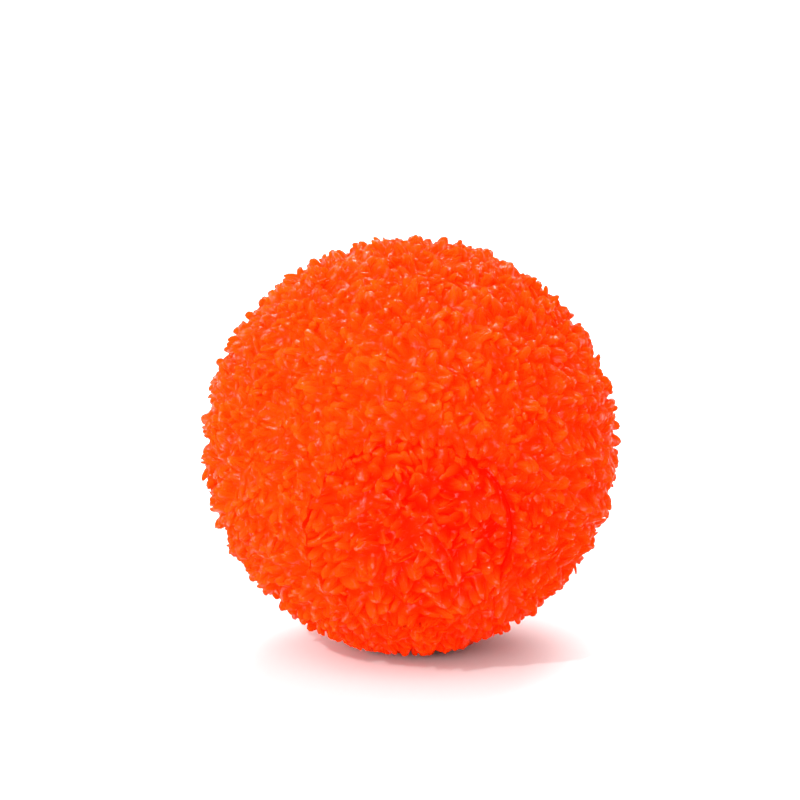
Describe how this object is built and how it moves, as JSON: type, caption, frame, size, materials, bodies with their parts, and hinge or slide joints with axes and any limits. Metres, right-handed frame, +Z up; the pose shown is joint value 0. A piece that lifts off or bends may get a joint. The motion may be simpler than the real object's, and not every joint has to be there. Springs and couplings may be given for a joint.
{
  "type": "light-up bouncy ball",
  "caption": "Soft nubbed rubber ball with a push-in plug over a pocket that holds a shake-triggered LED light unit.",
  "frame": {"origin": "middle of the flat that the soft ball rests on", "axes": "+Z up; -Y is the front, where the round plug shows low down; +X is to the right seen from the front"},
  "size_m": [0.065, 0.0634, 0.064],
  "materials": {
    "soft_rubber": "soft translucent thermoplastic rubber, orange-red, slightly glossy",
    "clear_plastic": "clear moulded styrene",
    "white_plastic": "moulded, fine satin",
    "screw_steel": "zinc plated",
    "cell_steel": "nickel plated can",
    "contact_metal": "stamped brass",
    "board": "green solder mask",
    "led_red": "tinted clear epoxy",
    "led_green": "tinted clear epoxy",
    "led_blue": "tinted clear epoxy",
    "black_epoxy": "domed drop",
    "chip_ceramic": "fired chip",
    "black_plastic": "moulded",
    "spring_steel": "drawn wire"
  },
  "bodies": {
    "ball": {"ball_skin": "soft_rubber", "nub_layer": "soft_rubber", "pocket_sleeve": "soft_rubber"},
    "light_unit": {"light_dome": "clear_plastic", "light_case": "white_plastic", "battery_cover": "white_plastic", "cover_screws": "screw_steel", "cell_inner": "cell_steel", "cell_middle": "cell_steel", "cell_outer": "cell_steel", "inner_contact": "contact_metal", "outer_contact": "contact_metal", "circuit_board": "board", "led_red": "led_red", "led_green": "led_green", "led_blue": "led_blue", "controller_blob": "black_epoxy", "resistor_left": "chip_ceramic", "resistor_right": "chip_ceramic", "switch_base": "black_plastic", "switch_pin": "contact_metal"},
    "plug": {"plug": "soft_rubber"},
    "shake_spring": {"switch_spring": "spring_steel"}
  },
  "joints": [
    {"name": "light_unit_slide", "type": "slide", "parent": "ball", "child": "light_unit", "axis": [0, -0.9613, -0.2756], "range_m": [0, 0.0295]},
    {"name": "plug_pull", "type": "slide", "parent": "light_unit", "child": "plug", "axis": [0, -0.9613, -0.2756], "range_m": [0, 0.0065]},
    {"name": "spring_sway", "type": "hinge", "parent": "light_unit", "child": "shake_spring", "pos_m": [0, -0.00402, 0.03035], "axis": [1, 0, 0], "range_deg": [-8, 8], "stiffness_Nm_per_rad": 0.00002}
  ]
}
